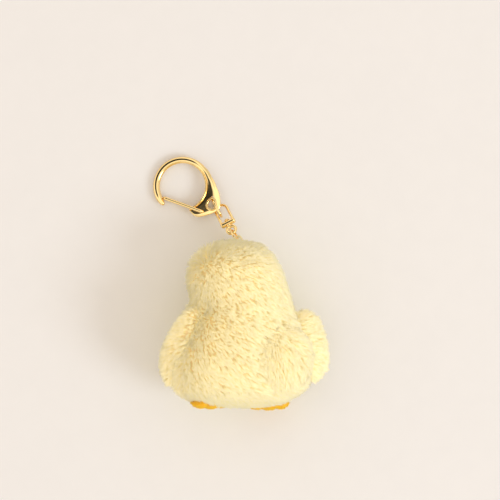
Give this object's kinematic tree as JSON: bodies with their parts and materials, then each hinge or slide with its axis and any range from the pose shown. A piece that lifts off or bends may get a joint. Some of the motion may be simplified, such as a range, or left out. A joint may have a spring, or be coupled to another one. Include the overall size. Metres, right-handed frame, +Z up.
{
  "type": "plush keychain",
  "caption": "Small stuffed chick of pale yellow plush with wings, tail, felt feet and beak, on a gold snap hook with a swivel.",
  "frame": {"origin": "on the surface it lies on, under the middle of the whole part's box", "axes": "+Y from the feet to the snap hook, +Z up off the surface with the back of the chick on top, +X towards the chick's low wing"},
  "size_m": [0.0806, 0.1151, 0.0497],
  "materials": {
    "plush": "short pile, soft",
    "felt": "matte felt",
    "fibre": "polyester fibre",
    "thread": "sewing thread",
    "cord": "twisted cord",
    "gold": "polished gold plating",
    "eye_plastic": "gloss",
    "washer_plastic": "matte"
  },
  "bodies": {
    "plush": {"back_panel": "plush", "front_panel": "plush", "base_panel": "plush", "filling": "fibre", "tail_upper": "plush", "tail_lower": "plush", "tail_filling": "fibre", "left_foot_top": "felt", "left_foot_sole": "felt", "left_foot_filling": "fibre", "right_foot_top": "felt", "right_foot_sole": "felt", "right_foot_filling": "fibre", "beak_upper": "felt", "beak_lower": "felt", "left_eye": "eye_plastic", "right_eye": "eye_plastic", "left_eye_washer": "washer_plastic", "right_eye_washer": "washer_plastic", "closing_stitch": "thread", "hang_loop": "cord"},
    "left_wing": {"left_wing_outer": "plush", "left_wing_inner": "plush", "left_wing_filling": "fibre"},
    "right_wing": {"right_wing_outer": "plush", "right_wing_inner": "plush", "right_wing_filling": "fibre"},
    "small_link": {"seam_link": "gold"},
    "eye": {"swivel_eye": "gold"},
    "bow": {"swivel_bow": "gold"},
    "long_link": {"hook_link": "gold"},
    "hook": {"hook_frame": "gold"},
    "gate": {"hook_gate": "gold"}
  },
  "joints": [
    {"name": "left_wing_lift", "type": "hinge", "parent": "plush", "child": "left_wing", "pos_m": [-0.02429, -0.0237, 0.0403], "axis": [0, 1, 0], "range_deg": [0, 30], "stiffness_Nm_per_rad": 0.002, "springref_deg": -11.46},
    {"name": "right_wing_lift", "type": "hinge", "parent": "plush", "child": "right_wing", "pos_m": [0.02751, -0.0292, 0.0206], "axis": [0, -1, 0], "range_deg": [0, 12], "stiffness_Nm_per_rad": 0.002, "springref_deg": -11.46},
    {"name": "small_link_swing", "type": "hinge", "parent": "plush", "child": "small_link", "pos_m": [-0.00229, 0.0202, 0.0149], "axis": [-0.6311, 0.3997, 0.6648], "range_deg": [-10, 14]},
    {"name": "eye_swing", "type": "hinge", "parent": "small_link", "child": "eye", "pos_m": [-0.00404, 0.02301, 0.01123], "axis": [0.8899, 0.4562, 0], "range_deg": [-10, 20]},
    {"name": "swivel_turn", "type": "hinge", "parent": "eye", "child": "bow", "pos_m": [-0.00629, 0.0274, 0.0079], "axis": [-0.378, 0.7373, -0.56], "continuous": true},
    {"name": "long_link_swing", "type": "hinge", "parent": "bow", "child": "long_link", "pos_m": [-0.01144, 0.03438, 0.00211], "axis": [0.8797, 0.4755, 0], "range_deg": [-20, 4]},
    {"name": "hook_turn", "type": "hinge", "parent": "long_link", "child": "hook", "pos_m": [-0.01329, 0.0378, 0.0046], "axis": [-0.0963, 0.045, 0.9943], "range_deg": [-15, 12]},
    {"name": "gate_open", "type": "hinge", "parent": "hook", "child": "gate", "pos_m": [-0.01798, 0.03259, 0.00438], "axis": [-0.0963, 0.045, 0.9943], "range_deg": [-32, 0], "stiffness_Nm_per_rad": 0.01, "springref_deg": 17.19}
  ]
}
